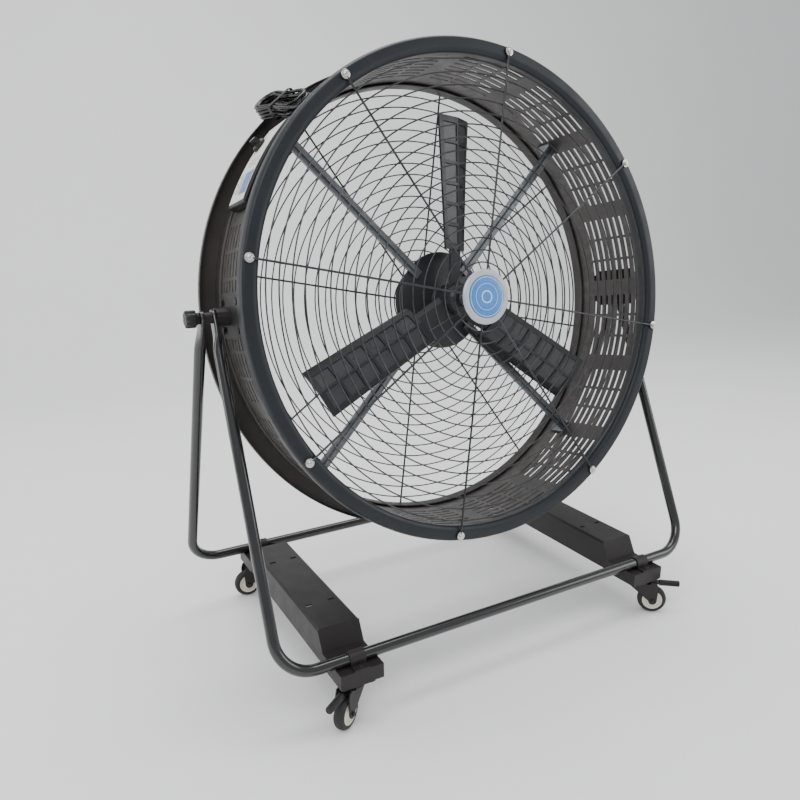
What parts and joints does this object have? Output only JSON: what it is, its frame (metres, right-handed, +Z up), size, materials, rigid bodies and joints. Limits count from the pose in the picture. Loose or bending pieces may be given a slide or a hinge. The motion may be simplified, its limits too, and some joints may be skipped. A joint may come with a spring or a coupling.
{
  "type": "drum fan",
  "caption": "Large drum fan: a vented drum with wire guards and a bladed rotor, which tilts on a bent-tube stand with castered base rails.",
  "frame": {"origin": "on the floor, straight under the tilt axis and midway between the two base rails", "axes": "+Z up; the fan blows toward -Y, so -Y is its front; +X is to the right when it is seen from the front"},
  "size_m": [1.2996, 0.7393, 1.4303],
  "materials": {
    "black_tube": "gloss",
    "rail_steel": "satin",
    "drum_plastic": "satin",
    "shell_plastic": "satin",
    "wire_zinc": "satin",
    "strut_steel": "satin",
    "blade_plastic": "satin",
    "motor_paint": "satin",
    "black_plastic": "satin",
    "tyre_rubber": "matte",
    "rim_plastic": "satin",
    "panel_white": "satin",
    "badge_grey": "satin",
    "badge_blue": "satin",
    "cord_rubber": "satin"
  },
  "bodies": {
    "stand": {"front_frame_tube": "black_tube", "rear_frame_tube": "black_tube", "left_base_rail": "rail_steel", "right_base_rail": "rail_steel", "front_left_clamp": "rail_steel", "front_right_clamp": "rail_steel", "rear_left_clamp": "rail_steel", "rear_right_clamp": "rail_steel", "left_pivot_spacer": "strut_steel", "right_pivot_spacer": "strut_steel", "front_left_caster_plate": "rail_steel", "front_right_caster_plate": "rail_steel", "rear_left_caster_plate": "rail_steel", "rear_right_caster_plate": "rail_steel"},
    "drum": {"drum_shell": "shell_plastic", "front_ring": "drum_plastic", "rear_ring": "drum_plastic", "front_grille": "wire_zinc", "rear_grille": "wire_zinc", "badge_plate": "badge_grey", "badge_disc": "badge_blue", "motor_strut_upper_right": "strut_steel", "motor_strut_upper_left": "strut_steel", "motor_strut_lower_left": "strut_steel", "motor_strut_lower_right": "strut_steel", "motor_housing": "motor_paint", "left_pivot_bracket": "rail_steel", "right_pivot_bracket": "rail_steel", "control_box": "black_plastic", "control_panel_plate": "panel_white", "cord_gland": "black_plastic", "power_cord_lead": "cord_rubber", "power_cord_hank": "cord_rubber", "power_cord_tail": "cord_rubber", "power_plug": "black_plastic", "cord_tie": "black_plastic"},
    "rotor": {"fan_hub": "motor_paint", "rotor_shaft": "strut_steel", "fan_blade_1": "blade_plastic", "fan_blade_2": "blade_plastic", "fan_blade_3": "blade_plastic"},
    "left_knob": {"left_tilt_knob": "black_plastic"},
    "right_knob": {"right_tilt_knob": "black_plastic"},
    "speed_switch": {"speed_switch_knob": "black_plastic"},
    "front_left_swivel": {"front_left_caster_fork": "rail_steel"},
    "front_left_wheel": {"front_left_tyre": "tyre_rubber", "front_left_rim": "rim_plastic"},
    "front_left_brake": {"front_left_brake_pedal": "black_plastic"},
    "front_right_swivel": {"front_right_caster_fork": "rail_steel"},
    "front_right_wheel": {"front_right_tyre": "tyre_rubber", "front_right_rim": "rim_plastic"},
    "front_right_brake": {"front_right_brake_pedal": "black_plastic"},
    "rear_left_swivel": {"rear_left_caster_fork": "rail_steel"},
    "rear_left_wheel": {"rear_left_tyre": "tyre_rubber", "rear_left_rim": "rim_plastic"},
    "rear_right_swivel": {"rear_right_caster_fork": "rail_steel"},
    "rear_right_wheel": {"rear_right_tyre": "tyre_rubber", "rear_right_rim": "rim_plastic"}
  },
  "joints": [
    {"name": "drum_tilt", "type": "hinge", "parent": "stand", "child": "drum", "pos_m": [0, 0, 0.84], "axis": [1, 0, 0], "range_deg": [-45, 98]},
    {"name": "rotor_spin", "type": "hinge", "parent": "drum", "child": "rotor", "pos_m": [0, 0, 0.84], "axis": [0, 0.9903, -0.1392], "continuous": true},
    {"name": "left_knob_turn", "type": "hinge", "parent": "drum", "child": "left_knob", "pos_m": [-0.634, 0, 0.84], "axis": [-1, 0, 0], "range_deg": [0, 360]},
    {"name": "right_knob_turn", "type": "hinge", "parent": "drum", "child": "right_knob", "pos_m": [0.634, 0, 0.84], "axis": [1, 0, 0], "range_deg": [0, 360]},
    {"name": "speed_switch_turn", "type": "hinge", "parent": "drum", "child": "speed_switch", "pos_m": [-0.45, 0.04982, 1.19446], "axis": [-0.7826, 0.0866, 0.6165], "range_deg": [0, 180]},
    {"name": "front_left_swivel_turn", "type": "hinge", "parent": "stand", "child": "front_left_swivel", "pos_m": [-0.43, -0.308, 0.09], "axis": [0, 0, 1], "continuous": true},
    {"name": "front_left_wheel_roll", "type": "hinge", "parent": "front_left_swivel", "child": "front_left_wheel", "pos_m": [-0.45785, -0.3275, 0.0375], "axis": [0.5736, -0.8192, 0], "continuous": true},
    {"name": "front_left_brake_press", "type": "hinge", "parent": "front_left_swivel", "child": "front_left_brake", "pos_m": [-0.45785, -0.3275, 0.0854], "axis": [0.5736, -0.8192, 0], "range_deg": [0, 10]},
    {"name": "front_right_swivel_turn", "type": "hinge", "parent": "stand", "child": "front_right_swivel", "pos_m": [0.43, -0.308, 0.09], "axis": [0, 0, 1], "continuous": true},
    {"name": "front_right_wheel_roll", "type": "hinge", "parent": "front_right_swivel", "child": "front_right_wheel", "pos_m": [0.45605, -0.32986, 0.0375], "axis": [0.6428, 0.766, 0], "continuous": true},
    {"name": "front_right_brake_press", "type": "hinge", "parent": "front_right_swivel", "child": "front_right_brake", "pos_m": [0.45605, -0.32986, 0.0854], "axis": [0.6428, 0.766, 0], "range_deg": [0, 10]},
    {"name": "rear_left_swivel_turn", "type": "hinge", "parent": "stand", "child": "rear_left_swivel", "pos_m": [-0.43, 0.308, 0.09], "axis": [0, 0, 1], "continuous": true},
    {"name": "rear_left_wheel_roll", "type": "hinge", "parent": "rear_left_swivel", "child": "rear_left_wheel", "pos_m": [-0.46398, 0.30919, 0.0375], "axis": [-0.0349, -0.9994, 0], "continuous": true},
    {"name": "rear_right_swivel_turn", "type": "hinge", "parent": "stand", "child": "rear_right_swivel", "pos_m": [0.43, 0.308, 0.09], "axis": [0, 0, 1], "continuous": true},
    {"name": "rear_right_wheel_roll", "type": "hinge", "parent": "rear_right_swivel", "child": "rear_right_wheel", "pos_m": [0.45605, 0.32986, 0.0375], "axis": [-0.6428, 0.766, 0], "continuous": true}
  ]
}
